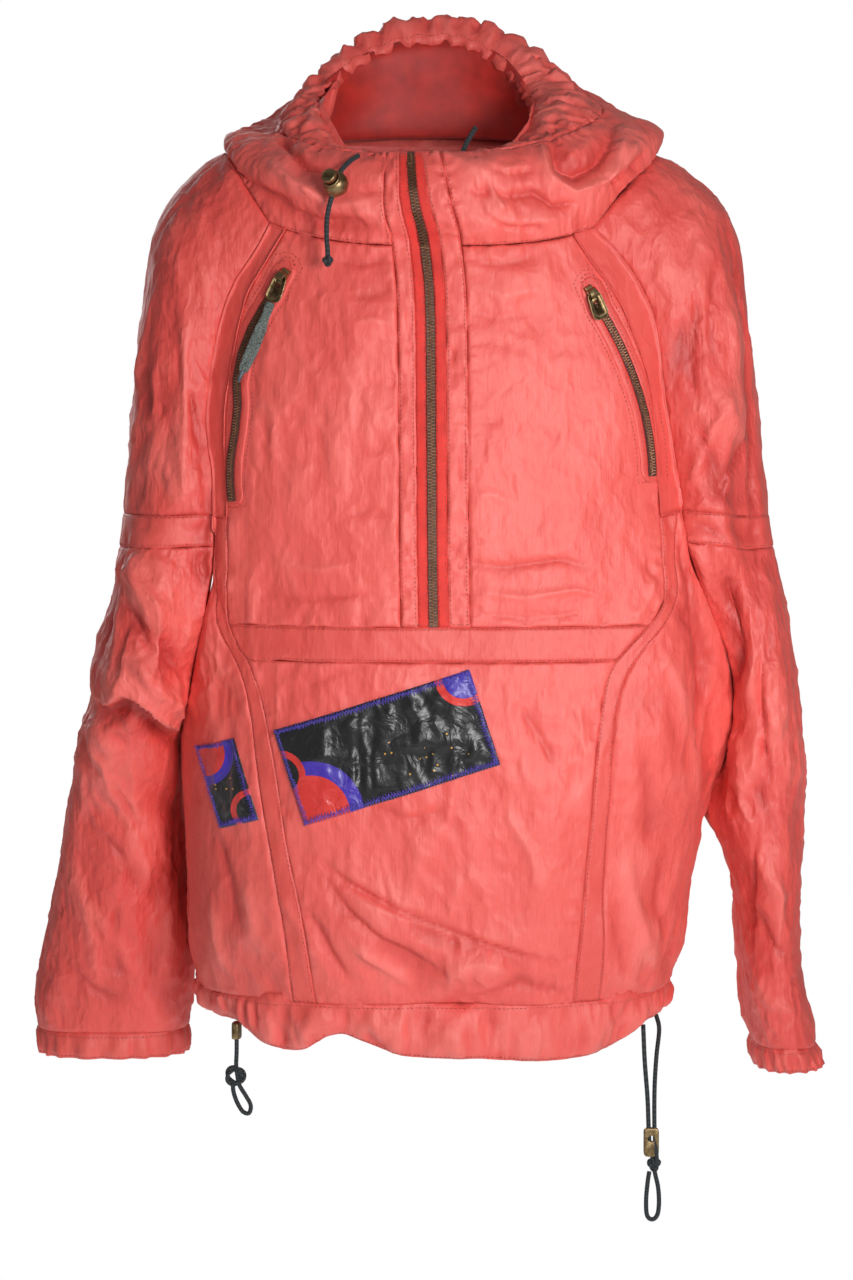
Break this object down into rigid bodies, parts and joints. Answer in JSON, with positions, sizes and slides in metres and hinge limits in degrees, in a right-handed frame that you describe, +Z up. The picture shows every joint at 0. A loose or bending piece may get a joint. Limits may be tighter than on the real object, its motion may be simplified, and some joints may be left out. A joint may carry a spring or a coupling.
{
  "type": "half-zip pullover track jacket",
  "caption": "Worn pullover jacket with a half zip, a gathered stand-up collar, raglan sleeves, banded seams, zipped chest pockets, a drawcord hem and gathered cuffs.",
  "frame": {"origin": "the wearer's neck base, midway between the shoulders, where the worn jacket is carried", "axes": "+Z up, -Y to the front of the jacket, +X to the wearer's left"},
  "size_m": [0.6414, 0.2922, 0.9615],
  "materials": {
    "shell_cloth": "washed crinkled nylon with a soft sheen",
    "band_cloth": "the same nylon cut as bands",
    "zip_tape": "woven polyester zip tape",
    "collar_lining": "plain woven lining",
    "patch_satin": "smooth satin with a zigzag stitched edge",
    "aged_brass": "antiqued, satin",
    "cord_braid": "round braid, matt"
  },
  "bodies": {
    "garment": {"back_panel": "shell_cloth", "collar": "shell_cloth", "collar_casing": "shell_cloth", "collar_cord_knot": "cord_braid", "collar_cord_lower": "cord_braid", "collar_cord_other_end": "cord_braid", "collar_cord_upper": "cord_braid", "collar_facing_left": "shell_cloth", "collar_facing_right": "shell_cloth", "collar_lining": "collar_lining", "collar_lock": "aged_brass", "collar_lock_button": "aged_brass", "cuff_left": "shell_cloth", "cuff_right": "shell_cloth", "elbow_band_left": "band_cloth", "elbow_band_right": "band_cloth", "hem_casing_back": "shell_cloth", "hem_casing_front": "shell_cloth", "hem_cord_left_front": "cord_braid", "hem_cord_left_side": "cord_braid", "hem_cord_right": "cord_braid", "hem_knot_left": "cord_braid", "hem_knot_right": "cord_braid", "hem_lock_left": "aged_brass", "hem_lock_right": "aged_brass", "hem_loop_left": "cord_braid", "hem_loop_right": "cord_braid", "lower_front": "shell_cloth", "patch_front": "patch_satin", "patch_side": "patch_satin", "placket_left": "shell_cloth", "placket_right": "shell_cloth", "pocket_slider_left": "aged_brass", "pocket_slider_right": "aged_brass", "pocket_zip_left": "aged_brass", "pocket_zip_right": "aged_brass", "raglan_band_left": "band_cloth", "raglan_band_right": "band_cloth", "side_band_left": "band_cloth", "side_band_right": "band_cloth", "side_panel_left": "shell_cloth", "side_panel_right": "shell_cloth", "sleeve_lower_back_left": "shell_cloth", "sleeve_lower_back_right": "shell_cloth", "sleeve_lower_front_left": "shell_cloth", "sleeve_lower_front_right": "shell_cloth", "sleeve_upper_left": "shell_cloth", "sleeve_upper_right": "shell_cloth", "waist_band": "band_cloth", "yoke_front_left": "shell_cloth", "yoke_front_right": "shell_cloth", "zip_chain": "aged_brass", "zip_slider": "aged_brass", "zip_tape_left": "zip_tape", "zip_tape_right": "zip_tape"},
    "pull_right": {"pocket_pull_right": "aged_brass", "pocket_pull_cord": "cord_braid"},
    "pull_left": {"pocket_pull_left": "aged_brass"}
  },
  "joints": [
    {"name": "pull_right_hinge", "type": "hinge", "parent": "garment", "child": "pull_right", "pos_m": [-0.11984, -0.10903, -0.07228], "axis": [-0.8401, 0.4271, 0.3343], "range_deg": [0, 120]},
    {"name": "pull_left_hinge", "type": "hinge", "parent": "garment", "child": "pull_left", "pos_m": [0.11796, -0.11225, -0.08531], "axis": [-0.8578, -0.3924, -0.332], "range_deg": [0, 120]}
  ]
}
